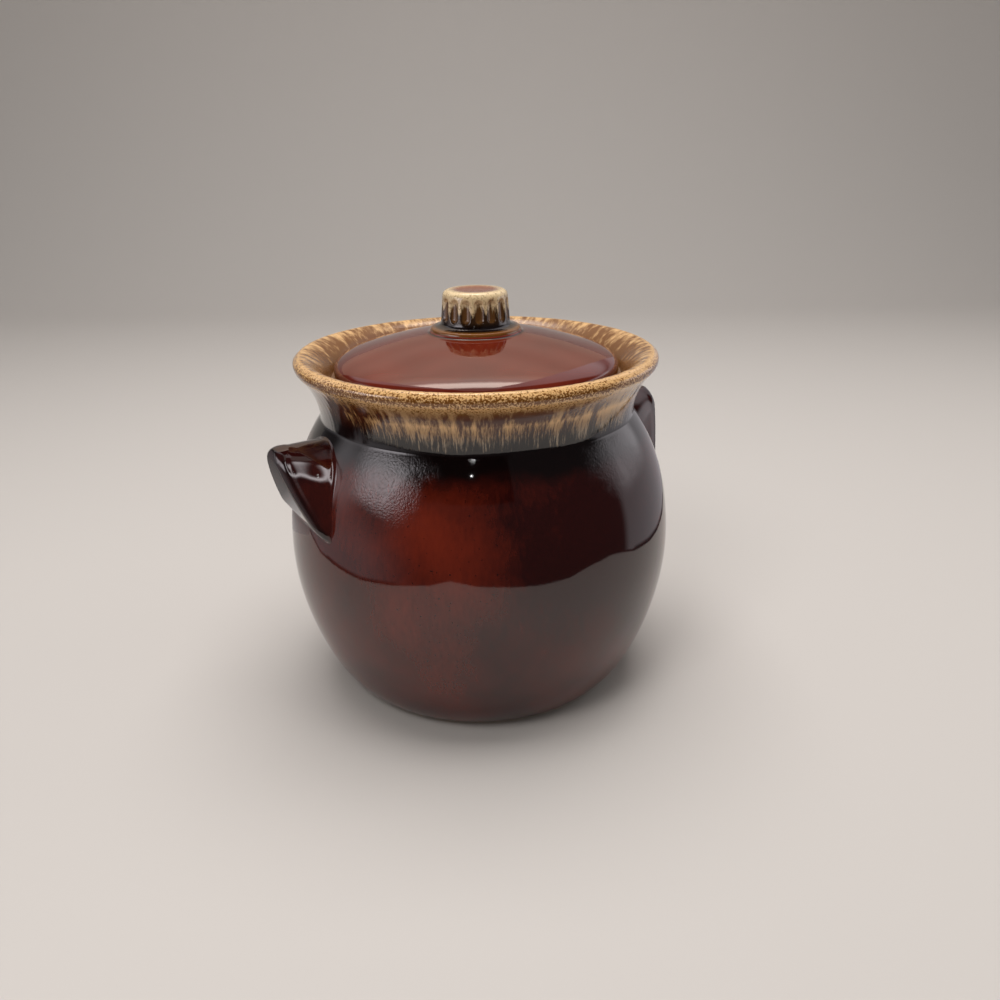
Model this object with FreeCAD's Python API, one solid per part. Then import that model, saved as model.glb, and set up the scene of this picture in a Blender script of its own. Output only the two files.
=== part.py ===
"""Stoneware bean pot with a drop-in lid.

Round-bellied pot with a flared collar, two solid lugs luted on its shoulder, and a domed lid
whose flange drops into the pot's throat and whose rim rests on a ledge inside the collar.
The lid is lifted by a squat fluted knob.

Millimetres, +Z up.  The origin is the centre of the foot, on the surface that the pot stands on.
The lugs lie along X.
"""
import FreeCAD, Part
import math
import os

# ---- pot body, outside -------------------------------------------------------------------------
foot_ring_radius = 56.8      # outer edge of the bare ring that the pot stands on
foot_ring_width = 6.5
foot_recess = 1.4            # how far the base is hollowed inside the foot ring
heel_width = 1.6             # glaze stops on this bevel above the foot ring
heel_rise = 1.0
belly_radius = 83.0
belly_height = 66.2          # height of the widest girth
neck_radius = 66.5           # crease where the collar meets the shoulder
neck_height = 121.3
crease_fillet = 1.2          # glaze-filled rounding in the neck crease
collar_height = 25.5         # neck crease to the top of the lip
lip_overhang = 9.6           # how far the lip stands out beyond the neck
lip_depth = 6.2              # height of the rolled lip
lip_undercut = 1.9
lip_crest_inset = 3.1        # crest of the lip, inward from its widest line
lip_bulge = 0.7              # how far the roll's handles stand beyond the lip's widest line

# ---- pot body, inside --------------------------------------------------------------------------
wall = 6.0
floor_thickness = 7.5
floor_inset = 2.5            # flat floor inside, in from the foot ring's outer edge
ledge_drop = 10.3            # top of the lip down to the lid ledge
ledge_width = 6.6
ledge_thickness = 5.2
gallery_inset = 5.5          # neck crease radius minus the radius of the gallery wall

# ---- lid ---------------------------------------------------------------------------------------
lid_side_clearance = 1.4     # gap round the lid inside the gallery
flange_clearance = 1.2       # gap round the flange inside the throat
flange_depth = 7.0
flange_thickness = 5.0
flange_chamfer = 1.0
lid_wall = 5.6
lid_edge_height = 3.8        # upright part of the lid's edge above the ledge
lid_edge_chamfer = 0.8
lid_shoulder_inset = 8.0     # the rolled edge ends this far in from the lid's rim
lid_shoulder_rise = 10.0     # the rolled edge ends this far above the ledge
lid_crown_rise = 17.3        # top of the knob seat above the ledge
lid_hollow_drop = 6.8        # edge of the hollow below the end of the rolled edge

# ---- knob --------------------------------------------------------------------------------------
knob_base_radius = 19.0
knob_base_edge = 0.9         # upright edge of the flared base
knob_base_relief = 0.4       # the base's sharp lower edge is eased by this much
knob_radius = 14.3           # at the foot of the flutes
knob_top_radius = 13.5
knob_height = 17.3
knob_flare_height = 4.6
knob_crown_radius = 2.6      # rounding of the top edge
knob_dish_radius = 8.6
knob_dish_depth = 0.7
flute_count = 16
flute_tool_radius = 2.5
flute_depth = 1.05
flute_start = 4.6            # lower end of a flute above the knob's base
flute_end = 15.0             # upper end of a flute above the knob's base

# ---- lugs --------------------------------------------------------------------------------------
lug_top_drop = 2.0           # top of the lug below the neck crease
lug_height = 35.3
lug_overhang = 8.4           # tip of the lug beyond the pot's widest girth
lug_root_width = 53.0        # where the flanks run into the pot's wall
lug_tip_width = 21.0
lug_draw_in = 1.82           # how strongly the dished flanks draw in from root to tip
lug_dish = 3.0               # how fully the flanks stand at the root before they draw in
lug_back_sag = 2.3           # fall of the lug's back from root to tip
lug_arch_share = 0.84        # radius of the arched back, as a share of half the lug's width
lug_leg_splay = 22.0         # degrees that the flanks splay outward below the arched back
lug_brow_rise = 1.7          # start of the brow's curve above the lug's back, cut away later
lug_tip_radius = 4.2
lug_nose_drop = 5.2          # top of the lug down to its furthest point
lug_foot_tuck = 3.0          # the lug's foot runs this far inside the belly's skin
lug_stock = 1.0              # clay beyond the finished faces before they are cut back
lug_edge_fillet = 0.6        # softened edge between each flank and the outer face
lug_sections = 8
slip_gap = 0.15              # layer of slip between a luted piece and what carries it

# ---- fullness of each curve: two handles, each at a share of the curve's run and of its rise ---
belly_pull = ((0.36, 0.035), (1.0, 0.52))
shoulder_pull = ((0.0, 0.40), (0.38, 0.74))
collar_pull = ((0.05, 0.42), (0.42, 0.74))
lip_pull = (0.32, 1.0)       # shares of the lip's depth only
gallery_pull = ((0.30, 0.0), (0.84, 0.50))
throat_pull = ((0.16, 0.35), (0.92, 0.60))
dome_pull = ((0.34, 0.16), (0.68, 0.57))
roll_pull = ((0.52, 0.24), (1.0, 0.48))
hollow_pull = ((0.38, 0.99), (0.60, 1.0))
flare_pull = ((0.62, 0.08), (1.0, 0.45))
crown_pull = ((0.0, 0.60), (0.40, 1.0))
dish_pull = ((0.19, 1.0), (0.60, 1.0))
brow_pull = ((0.65, 0.12), (1.0, 0.63))
face_pull = ((0.09, 0.27), (0.58, 0.70))

# ---- heights and radii that several pieces share -----------------------------------------------
lip_height = neck_height + collar_height
ledge_height = lip_height - ledge_drop
gallery_radius = neck_radius - gallery_inset
throat_radius = gallery_radius - ledge_width
lid_radius = gallery_radius - lid_side_clearance
knob_seat_height = ledge_height + lid_crown_rise
lug_top = neck_height - lug_top_drop
lug_bottom = lug_top - lug_height
lug_tip = belly_radius + lug_overhang

UP = FreeCAD.Vector(0, 0, 1)
ORIGIN = FreeCAD.Vector(0, 0, 0)
FINE = 0.001                 # two places closer than this are one place


def at(radius, height):
    """A point of a section in the XZ plane."""
    return FreeCAD.Vector(radius, 0, height)


def line(start, end):
    return Part.LineSegment(start, end).toShape()


def curve(*poles):
    """A Bezier edge: the first and last poles lie on it, the others pull it."""
    bezier = Part.BezierCurve()
    bezier.setPoles(list(poles))
    return bezier.toShape()


def sweep(start, end, pull):
    """A section edge whose two handles lie at shares of its run and of its rise."""
    run = end.x - start.x
    rise = end.z - start.z
    handles = [at(start.x + across * run, start.z + up * rise) for across, up in pull]
    return curve(start, handles[0], handles[1], end)


def turn(edges):
    """Revolve a closed section once round the pot's axis."""
    section = Part.Face(Part.Wire(edges))
    return section.revolve(ORIGIN, UP, 360)


def lower_belly(inset=0.0, start=None):
    """From the heel up to the widest girth."""
    start = start or at(foot_ring_radius + heel_width, heel_rise)
    return sweep(start, at(belly_radius - inset, belly_height), belly_pull)


def shoulder(inset=0.0):
    """From the widest girth up and in to the neck crease."""
    girth = at(belly_radius - inset, belly_height)
    neck = at(neck_radius - inset, neck_height)
    return sweep(girth, neck, shoulder_pull)


def skin_radius(height):
    """Outside radius of the shoulder at a height between the girth and the neck."""
    edge = shoulder()
    low, high = edge.ParameterRange
    while high - low > FINE * FINE:
        middle = 0.5 * (low + high)
        if edge.valueAt(middle).z < height:
            low = middle
        else:
            high = middle
    return edge.valueAt(middle).x


def belly_solid(extra=0.0):
    """The pot's outside below the neck as a plain solid, grown outward by a small gap."""
    heel = at(foot_ring_radius + heel_width + extra, heel_rise)
    top = at(neck_radius + extra, neck_height)
    return turn([
        line(at(0, heel.z), heel),
        lower_belly(-extra, heel),
        shoulder(-extra),
        line(top, at(0, top.z)),
        line(at(0, top.z), at(0, heel.z)),
    ])


def rings_at(shape, radius, height):
    """The circular edges of a shape at one radius and height."""
    found = []
    for edge in shape.Edges:
        if edge.Curve.TypeId != "Part::GeomCircle":
            continue
        if abs(edge.Curve.Radius - radius) < FINE and abs(edge.Curve.Center.z - height) < FINE:
            found.append(edge)
    return found


def pot_outside():
    """Section edges from the centre of the base, out over the foot and up to the lip's crest."""
    foot_inner = foot_ring_radius - foot_ring_width
    recess_edge = foot_inner - foot_recess
    heel = at(foot_ring_radius + heel_width, heel_rise)
    neck = at(neck_radius, neck_height)
    lip_radius = neck_radius + lip_overhang
    lip_under = at(lip_radius - lip_undercut, lip_height - lip_depth)
    crest = at(lip_radius - lip_crest_inset, lip_height)
    roll = [at(lip_radius + lip_bulge, lip_under.z + up * lip_depth) for up in lip_pull]
    return [
        line(at(0, foot_recess), at(recess_edge, foot_recess)),
        line(at(recess_edge, foot_recess), at(foot_inner, 0)),
        line(at(foot_inner, 0), at(foot_ring_radius, 0)),
        line(at(foot_ring_radius, 0), heel),
        lower_belly(),
        shoulder(),
        sweep(neck, lip_under, collar_pull),
        curve(lip_under, roll[0], roll[1], crest),
    ]


def pot_inside(crest):
    """Section edges from the lip's crest, down over the lid ledge to the middle of the floor."""
    gallery = at(gallery_radius, ledge_height)
    ledge_edge = at(throat_radius, ledge_height)
    ledge_under = at(throat_radius, ledge_height - ledge_thickness)
    floor_edge = at(foot_ring_radius - floor_inset, floor_thickness)
    return [
        sweep(crest, gallery, gallery_pull),
        line(gallery, ledge_edge),
        line(ledge_edge, ledge_under),
        sweep(ledge_under, at(neck_radius - wall, neck_height), throat_pull),
        shoulder(wall),
        lower_belly(wall, floor_edge),
        line(floor_edge, at(0, floor_thickness)),
        line(at(0, floor_thickness), at(0, foot_recess)),
    ]


def pot_body():
    """Foot, belly, shoulder, flared collar, rolled lip and lid ledge in one piece of clay."""
    outside = pot_outside()
    crest = outside[-1].valueAt(outside[-1].LastParameter)
    body = turn(outside + pot_inside(crest))
    return body.makeFillet(crease_fillet, rings_at(body, neck_radius, neck_height))


def lid():
    """Domed disc with a rolled edge, a flat seating ring and a locating flange below."""
    flange_outer = throat_radius - flange_clearance
    flange_inner = flange_outer - flange_thickness
    flange_bottom = ledge_height - flange_depth
    seat = at(knob_base_radius, knob_seat_height)
    rolled = at(lid_radius - lid_shoulder_inset, ledge_height + lid_shoulder_rise)
    edge_top = at(lid_radius, ledge_height + lid_edge_height)
    edge_bottom = at(lid_radius, ledge_height + lid_edge_chamfer)
    bed_edge = at(lid_radius - lid_edge_chamfer, ledge_height)
    bed_root = at(flange_outer, ledge_height)
    flange_side = at(flange_outer, flange_bottom + flange_chamfer)
    flange_foot = at(flange_outer - flange_chamfer, flange_bottom)
    hollow_edge = at(flange_inner, rolled.z - lid_hollow_drop)
    hollow_crown = at(0, knob_seat_height - lid_wall)
    return turn([
        line(at(0, seat.z), seat),
        sweep(seat, rolled, dome_pull),
        sweep(rolled, edge_top, roll_pull),
        line(edge_top, edge_bottom),
        line(edge_bottom, bed_edge),
        line(bed_edge, bed_root),
        line(bed_root, flange_side),
        line(flange_side, flange_foot),
        line(flange_foot, at(flange_inner, flange_bottom)),
        line(at(flange_inner, flange_bottom), hollow_edge),
        sweep(hollow_edge, hollow_crown, hollow_pull),
        line(hollow_crown, at(0, seat.z)),
    ])


def flute_tool():
    """Round-ended bar that is laid against the knob to press one flute."""
    length = flute_end - flute_start - 2 * flute_tool_radius
    bar = Part.makeCylinder(flute_tool_radius, length)
    lower_end = Part.makeSphere(flute_tool_radius)
    upper_end = Part.makeSphere(flute_tool_radius, FreeCAD.Vector(0, 0, length))
    tool = bar.fuse([lower_end, upper_end]).removeSplitter()
    taper = math.atan2(knob_radius - knob_top_radius, flute_end - flute_start)
    tool.rotate(ORIGIN, FreeCAD.Vector(0, 1, 0), -math.degrees(taper))
    reach = knob_radius - flute_depth + flute_tool_radius
    tool.translate(FreeCAD.Vector(reach, 0, knob_seat_height + flute_start + flute_tool_radius))
    return tool


def lid_knob():
    """Squat knob with a flared base, pressed flutes and a shallow dish in its top."""
    base = knob_seat_height
    top = base + knob_height
    base_foot = at(knob_base_radius - knob_base_relief, base)
    base_edge = at(knob_base_radius, base + knob_base_edge)
    waist = at(knob_radius, base + knob_flare_height)
    crown = at(knob_top_radius, top - knob_crown_radius)
    crown_end = at(knob_top_radius - knob_crown_radius, top)
    dish_edge = at(knob_dish_radius, top)
    dish_centre = at(0, top - knob_dish_depth)
    blank = turn([
        line(at(0, base), base_foot),
        line(base_foot, base_edge),
        sweep(base_edge, waist, flare_pull),
        line(waist, crown),
        sweep(crown, crown_end, crown_pull),
        line(crown_end, dish_edge),
        sweep(dish_edge, dish_centre, dish_pull),
        line(dish_centre, at(0, base)),
    ])
    tools = []
    for number in range(flute_count):
        tool = flute_tool()
        tool.rotate(ORIGIN, UP, number * 360.0 / flute_count)
        tools.append(tool)
    return blank.cut(tools)


def arch_section(distance, width, top, bottom):
    """Upright arch across the lug at one distance from the pot's axis: legs splay below it."""
    splay = math.radians(lug_leg_splay)
    radius = 0.5 * width * lug_arch_share
    centre = top - radius
    spring_y = radius * math.cos(splay)
    spring_z = centre + radius * math.sin(splay)
    leg_y = spring_y + (spring_z - bottom) * math.tan(splay)
    left_foot = FreeCAD.Vector(distance, -leg_y, bottom)
    right_foot = FreeCAD.Vector(distance, leg_y, bottom)
    left_spring = FreeCAD.Vector(distance, -spring_y, spring_z)
    right_spring = FreeCAD.Vector(distance, spring_y, spring_z)
    crown = FreeCAD.Vector(distance, 0, top)
    return Part.Wire([
        line(left_foot, left_spring),
        Part.Arc(left_spring, crown, right_spring).toShape(),
        line(right_spring, right_foot),
        line(right_foot, left_foot),
    ])


def lug_hood(root):
    """Arched bar from inside the wall to past the tip, with flanks that draw in like a bell."""
    start = root - lug_stock
    step = (lug_tip + lug_stock - start) / (lug_sections - 1)
    sections = []
    for number in range(lug_sections):
        distance = start + number * step
        share = (distance - root) / (lug_tip - root)
        draw_in = math.exp(-(lug_draw_in * max(share, 0.0)) ** lug_dish)
        width = lug_tip_width + (lug_root_width - lug_tip_width) * draw_in
        top = lug_top - lug_back_sag * share
        sections.append(arch_section(distance, width, top, lug_bottom - lug_stock))
    return Part.makeLoft(sections, True, False)


def lug_block(root):
    """Side view of the lug drawn right across it: rounded brow, nose, then the steep face."""
    brow = at(lug_tip - lug_tip_radius, lug_top + lug_brow_rise)
    nose = at(lug_tip, lug_top - lug_nose_drop)
    heel = at(skin_radius(lug_bottom) - lug_foot_tuck, lug_bottom)
    back_top = at(root - 2 * lug_stock, brow.z)
    back_foot = at(back_top.x, heel.z)
    side = Part.Face(Part.Wire([
        line(back_top, brow),
        sweep(brow, nose, brow_pull),
        sweep(nose, heel, face_pull),
        line(heel, back_foot),
        line(back_foot, back_top),
    ]))
    side.translate(FreeCAD.Vector(0, -lug_root_width, 0))
    return side.extrude(FreeCAD.Vector(0, 2 * lug_root_width, 0))


def flank_edges(blank, root):
    """Edges between the outer face and the two flanks, which run up to the lug's tip."""
    found = []
    for edge in blank.Edges:
        ends = [vertex.Point for vertex in edge.Vertexes]
        same_side = ends[0].y * ends[1].y > FINE
        outside = min(end.x for end in ends) > root + lug_stock
        level = abs(ends[0].z - ends[1].z) < FINE
        if same_side and outside and not level:
            found.append(edge)
    return found


def lug():
    """Hooded lug on +X: dished flanks under an arched back, cut to a steep face below its tip."""
    root = skin_radius(lug_top)
    blank = lug_hood(root).common(lug_block(root))
    eased = blank.makeFillet(lug_edge_fillet, flank_edges(blank, root))
    return eased.cut(belly_solid(slip_gap))


def main():
    os.makedirs("parts", exist_ok=True)
    right = lug()
    left = right.copy()
    left.rotate(ORIGIN, UP, 180)
    pieces = {
        "pot_body": pot_body(),
        "lug_handle_right": right,
        "lug_handle_left": left,
        "lid": lid(),
        "lid_knob": lid_knob(),
    }
    for name, shape in pieces.items():
        shape.exportStep(os.path.join("parts", name + ".step"))


main()
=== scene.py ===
"""Glazed look of a stoneware bean pot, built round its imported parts.

Every piece is a turned or carved clay form with its own glaze.  Sizes are in metres in the
sidebar and in millimetres inside the mesh code.
"""

import math
from types import SimpleNamespace

import bpy
import numpy as np
import openvdb
from mathutils import Matrix, Vector


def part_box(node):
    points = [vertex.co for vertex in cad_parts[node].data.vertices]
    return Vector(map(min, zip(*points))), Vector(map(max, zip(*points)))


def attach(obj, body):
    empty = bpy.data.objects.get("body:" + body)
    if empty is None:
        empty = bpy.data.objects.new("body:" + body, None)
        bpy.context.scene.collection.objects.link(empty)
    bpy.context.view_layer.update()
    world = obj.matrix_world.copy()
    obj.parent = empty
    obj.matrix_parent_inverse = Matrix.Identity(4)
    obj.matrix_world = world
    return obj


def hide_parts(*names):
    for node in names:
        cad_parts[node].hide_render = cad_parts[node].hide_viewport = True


bl_info = {
    "name": "Stoneware Bean Pot",
    "version": (1, 0, 0),
    "blender": (4, 5, 0),
    "location": "View3D > Sidebar > Bean Pot",
    "description": "Glazed bean pot with two lugs, a drop-in lid and a fluted knob",
    "category": "Add Mesh",
}

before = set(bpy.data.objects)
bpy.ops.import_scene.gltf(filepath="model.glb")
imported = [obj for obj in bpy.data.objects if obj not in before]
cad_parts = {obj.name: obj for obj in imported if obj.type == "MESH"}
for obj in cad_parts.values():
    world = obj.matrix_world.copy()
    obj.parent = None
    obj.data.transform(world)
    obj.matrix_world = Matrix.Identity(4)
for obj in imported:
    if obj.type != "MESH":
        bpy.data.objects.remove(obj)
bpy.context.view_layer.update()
_, pot_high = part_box("pot_body")
lid_low, lid_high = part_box("lid")
knob_low, knob_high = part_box("lid_knob")
_, lug_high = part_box("lug_handle_right")

MM = 0.001
TURN = 2 * math.pi


# ---- sizes and colours ---------------------------------------------------------------------------
def length(name, text, value):
    """A size in metres for the sidebar."""
    return bpy.props.FloatProperty(
        name=name, description=text, default=value, min=0.0, precision=4,
        unit="LENGTH", subtype="DISTANCE",
    )


def hex_colour(code):
    """Linear RGBA of an sRGB hex code."""
    values = []
    for start in (1, 3, 5):
        c = int(code[start:start + 2], 16) / 255
        values.append(c / 12.92 if c <= 0.04045 else ((c + 0.055) / 1.055) ** 2.4)
    return (*values, 1.0)


def colour(name, text, code):
    """A colour for the sidebar."""
    return bpy.props.FloatVectorProperty(
        name=name, description=text, default=hex_colour(code), size=4, min=0.0, max=1.0,
        subtype="COLOR",
    )


class BeanPotSizes(bpy.types.PropertyGroup):
    foot_radius: length("Foot radius", "Outer edge of the bare foot ring", 0.0568)
    foot_width: length("Foot width", "Width of the bare foot ring", 0.0065)
    foot_recess: length("Foot recess", "Hollow of the base inside the foot ring", 0.0014)
    heel_width: length("Heel width", "Bevel above the foot ring", 0.0016)
    heel_rise: length("Heel rise", "Height of the bevel above the foot ring", 0.0010)
    belly_radius: length("Belly radius", "Widest girth of the pot", pot_high.x)
    belly_height: length("Belly height", "Height of the widest girth", 0.0662)
    neck_radius: length("Neck radius", "Crease between shoulder and collar", 0.0665)
    neck_height: length("Neck height", "Height of the neck crease", 0.1213)
    lip_height: length("Lip height", "Top of the lip", pot_high.z)
    lip_overhang: length("Lip overhang", "How far the lip stands out beyond the neck", 0.0096)
    lip_depth: length("Lip depth", "Height of the rolled lip", 0.0062)
    lip_undercut: length("Lip undercut", "How far the roll is drawn in below", 0.0019)
    lip_crest_inset: length("Crest inset", "Crest of the lip in from its widest line", 0.0031)
    lip_bulge: length("Lip bulge", "Fullness of the rolled lip", 0.0007)
    wall: length("Wall", "Thickness of the clay", 0.0060)
    floor_thickness: length("Floor", "Thickness of the pot's floor", 0.0075)
    floor_inset: length("Floor inset", "Flat floor inside, in from the foot's edge", 0.0025)
    gallery_radius: length("Gallery radius", "Wall round the lid", 0.0610)
    throat_radius: length("Throat radius", "Opening inside the lid ledge", 0.0544)
    ledge_height: length("Ledge height", "Seat of the lid", 0.1365)
    ledge_thickness: length("Ledge thickness", "Thickness of the lid ledge", 0.0052)
    unevenness: length("Unevenness", "Waviness of the hand-finished clay", 0.00016)
    lip_channel: length("Lip channel", "Shallow channel round the top of the lip", 0.00025)


class BeanPotLidSizes(bpy.types.PropertyGroup):
    radius: length("Radius", "Outer edge of the lid", lid_high.x)
    edge_height: length("Edge height", "Upright part of the lid's edge", 0.0038)
    edge_ease: length("Edge ease", "Bevel under the lid's edge", 0.0008)
    shoulder_inset: length("Shoulder inset", "Rolled edge, in from the rim", 0.0080)
    shoulder_rise: length("Shoulder rise", "Rolled edge, up from the seat", 0.0100)
    crown: length("Crown", "Flat that carries the knob", knob_low.z)
    wall: length("Wall", "Thickness of the lid", 0.0056)
    hollow_drop: length("Hollow drop", "Edge of the hollow below the shoulder", 0.0068)
    flange_radius: length("Flange radius", "Outside of the locating flange", 0.0532)
    flange_width: length("Flange width", "Thickness of the flange", 0.0050)
    flange_bottom: length("Flange bottom", "Lower edge of the flange", lid_low.z)
    knob_base_radius: length("Knob base", "Flared base of the knob", knob_high.x)
    knob_base_edge: length("Knob base edge", "Upright edge of the base", 0.0008)
    knob_radius: length("Knob radius", "Knob at the foot of the flutes", 0.0143)
    knob_top_radius: length("Knob top", "Knob under its rounded top", 0.0135)
    knob_height: length("Knob height", "Base to top", knob_high.z - knob_low.z)
    knob_flare: length("Knob flare", "Height of the flared base", 0.0046)
    knob_round: length("Knob rounding", "Rounding of the top edge", 0.0026)
    dish_radius: length("Dish radius", "Shallow dish in the knob's top", 0.0086)
    dish_depth: length("Dish depth", "Depth of that dish", 0.0007)
    flute_radius: length("Flute radius", "Round of each flute", 0.0025)
    flute_depth: length("Flute depth", "Depth of each flute", 0.00105)
    flute_start: length("Flute start", "Lower end of a flute above the base", 0.0046)
    flute_end: length("Flute end", "Upper end of a flute above the base", 0.0150)
    flutes: bpy.props.IntProperty(
        name="Flutes", description="How many flutes go round the knob", default=16, min=3)


class BeanPotLugSizes(bpy.types.PropertyGroup):
    tip: length("Tip", "Tip of the lug from the pot's axis", lug_high.x)
    top: length("Top", "Height of the lug's back", lug_high.z - 0.0011)
    bottom: length("Bottom", "Height of the lug's foot", 0.0802)
    root_width: length("Root width", "Width where the flanks meet the wall", 0.0540)
    tip_width: length("Tip width", "Width at the tip", 0.0210)
    sag: length("Back sag", "Fall of the back from root to tip", 0.0003)
    brow_rise: length("Brow rise", "Start of the brow's curve above the back", 0.0026)
    nose_drop: length("Nose drop", "Back of the lug down to its furthest point", 0.0041)
    nose_radius: length("Nose radius", "Round of the brow", 0.0052)
    foot_tuck: length("Foot tuck", "Foot of the lug inside the belly's skin", 0.0030)
    foot_round: length("Foot rounding", "Round of the lug's lower end", 0.0027)
    rim_height: length("Rim height", "Raised rim along the outer edge", 0.00035)
    rim_width: length("Rim width", "Width of that rim", 0.0030)
    edge_round: length("Edge rounding", "Softness of the outer edge", 0.0010)
    root_fillet: length("Root fillet", "Slip and glaze in the root", 0.0010)
    arch: bpy.props.FloatProperty(
        name="Arch", description="Radius of the arched back at the root, over half the width",
        default=0.72, min=0.3, max=1.0)
    tip_arch: bpy.props.FloatProperty(
        name="Tip arch", description="Radius of the arched back at the tip, over half the width",
        default=1.0, min=0.3, max=1.0)
    splay: bpy.props.FloatProperty(
        name="Splay", description="Degrees that the flanks lean outward below the arched back",
        default=19.5, min=0.0, max=45.0)
    draw_in: bpy.props.FloatProperty(
        name="Draw-in", description="How soon the flanks draw in from root to tip",
        default=1.5, min=0.1)
    dish: bpy.props.FloatProperty(
        name="Dish", description="How hollow the flanks are", default=2.5, min=1.0)


class BeanPotColours(bpy.types.PropertyGroup):
    oxblood: colour("Oxblood", "Thick red-brown glaze", "#290b0a")
    rust: colour("Rust", "Thin red-brown glaze", "#6f2413")
    # this near-black also paints a dark reflection on the upper part of the knob's flare
    pooled: colour("Pooled", "Glaze pooled in creases", "#100808")
    cream: colour("Cream", "Thickest pale overglaze", "#d9ad76")
    straw: colour("Straw", "Pale overglaze where it lies thick on the knob", "#dfc69c")
    ochre: colour("Ochre", "Pale overglaze over brown", "#a98358")
    ash: colour("Ash", "Last thin threads of the pale overglaze", "#94836f")
    amber: colour("Amber", "Brown glaze breaking over edges", "#704316")
    olive: colour("Olive", "Brown glaze in the knob's flutes", "#5f3c15")
    umber: colour("Umber", "Brown glaze under the pale one", "#4a2414")
    clay: colour("Clay", "Bare stoneware of the foot", "#b09a7c")
    paper: colour("Paper", "Floor and backdrop", "#c8c2be")


def in_mm(group):
    """The sizes of a property group in millimetres."""
    values = {}
    for name in group.__annotations__:
        lengthy = group.bl_rna.properties[name].unit == "LENGTH"
        values[name] = getattr(group, name) / (MM if lengthy else 1)
    return SimpleNamespace(**values)


# ---- turned forms --------------------------------------------------------------------------------
SHORTEST_GAP = 0.3  # between a turned form's last two rows
AXIS_FADE = 8  # a relief fades out within this radius
BEND_PASSES = 3  # how often the measured bend of a surface is smoothed


def straight(*corners):
    """Corners of a section joined by straight edges."""
    return np.array(corners, float)


def sweep(start, end, pull, count=80):
    """A smooth section edge; the handles lie at shares of its run and of its rise."""
    start, end = np.array(start, float), np.array(end, float)
    handles = [start + (end - start) * np.array(share) for share in pull]
    return bezier(start, handles[0], handles[1], end, count)


def bezier(first, second, third, last, count=80):
    """Points of a section edge between its two ends and two handles."""
    t = np.linspace(0, 1, count)[:, None]
    poles = [np.array(pole, float) for pole in (first, second, third, last)]
    return ((1 - t) ** 3 * poles[0] + 3 * (1 - t) ** 2 * t * poles[1]
            + 3 * (1 - t) * t ** 2 * poles[2] + t ** 3 * poles[3])


def chain(*edges):
    """Section edges joined end to end, with no point twice."""
    path = np.concatenate(edges)
    keep = np.ones(len(path), bool)
    keep[1:] = np.hypot(*np.diff(path, axis=0).T) > 1e-6
    return path[keep]


def arc_length(path):
    """Distance of each section point from the section's start."""
    return np.concatenate([[0.0], np.cumsum(np.hypot(*np.diff(path, axis=0).T))])


def soften(path, radius, step=0.12):
    """Round every corner of a section as glaze does; the section starts and ends on the axis."""
    along = arc_length(path)
    count = int(along[-1] / step) + 1
    even = np.linspace(0, along[-1], count)
    fine = np.column_stack([np.interp(even, along, path[:, i]) for i in (0, 1)])
    reach = int(3 * radius / step) + 1
    kernel = np.exp(-0.5 * (np.arange(-reach, reach + 1) * step / radius) ** 2)
    kernel /= kernel.sum()
    across_axis = np.array([-1.0, 1.0])
    padded = np.concatenate([fine[reach:0:-1] * across_axis, fine,
                             fine[-2:-reach - 2:-1] * across_axis])
    smooth = np.column_stack([np.convolve(padded[:, i], kernel, "valid") for i in (0, 1)])
    smooth[0, 0] = smooth[-1, 0] = 0.0
    return smooth


def thin_out(path, widest, turn=0.07):
    """Numbers of the section points to keep: close together in bends, far apart elsewhere."""
    along = arc_length(path)
    direction = np.unwrap(np.arctan2(*np.gradient(path, axis=0).T[::-1]))
    kept = [0]
    for n in range(1, len(path) - 1):
        gap = along[n] - along[kept[-1]]
        if gap >= widest or abs(direction[n] - direction[kept[-1]]) >= turn:
            kept.append(n)
    if along[-1] - along[kept[-1]] < SHORTEST_GAP:
        kept.pop()
    return kept + [len(path) - 1]


def waves(around, up, seed, orders, pitch):
    """Slow random waviness that closes on itself round the pot; about -1 to 1."""
    draw = np.random.default_rng(seed)
    total = np.zeros(np.broadcast(around, up).shape)
    weight = 0.0
    for order in orders:
        for _ in range(3):
            phase, tilt = draw.uniform(0, TURN), draw.normal(0, 1)
            share = 1 / math.sqrt(order)
            total += share * np.cos(order * around + tilt * TURN * up / pitch + phase)
            weight += share ** 2
    return total / math.sqrt(1.5 * weight) / 1.5


def make_object(name, points, faces, attributes=None):
    """A smooth-shaded mesh object from points in millimetres."""
    mesh = bpy.data.meshes.new(name)
    mesh.from_pydata((np.asarray(points) * MM).tolist(), [], faces)
    mesh.polygons.foreach_set("use_smooth", np.ones(len(mesh.polygons), bool))
    for label, values in (attributes or {}).items():
        kind, field = ("FLOAT_VECTOR", "vector") if values.ndim == 2 else ("FLOAT", "value")
        layer = mesh.attributes.new(label, kind, "POINT")
        layer.data.foreach_set(field, values.astype(np.float32).ravel())
    mesh.validate()
    mesh.update()
    piece = bpy.data.objects.new(name, mesh)
    bpy.context.scene.collection.objects.link(piece)
    mark_edges(mesh)
    return piece


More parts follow.
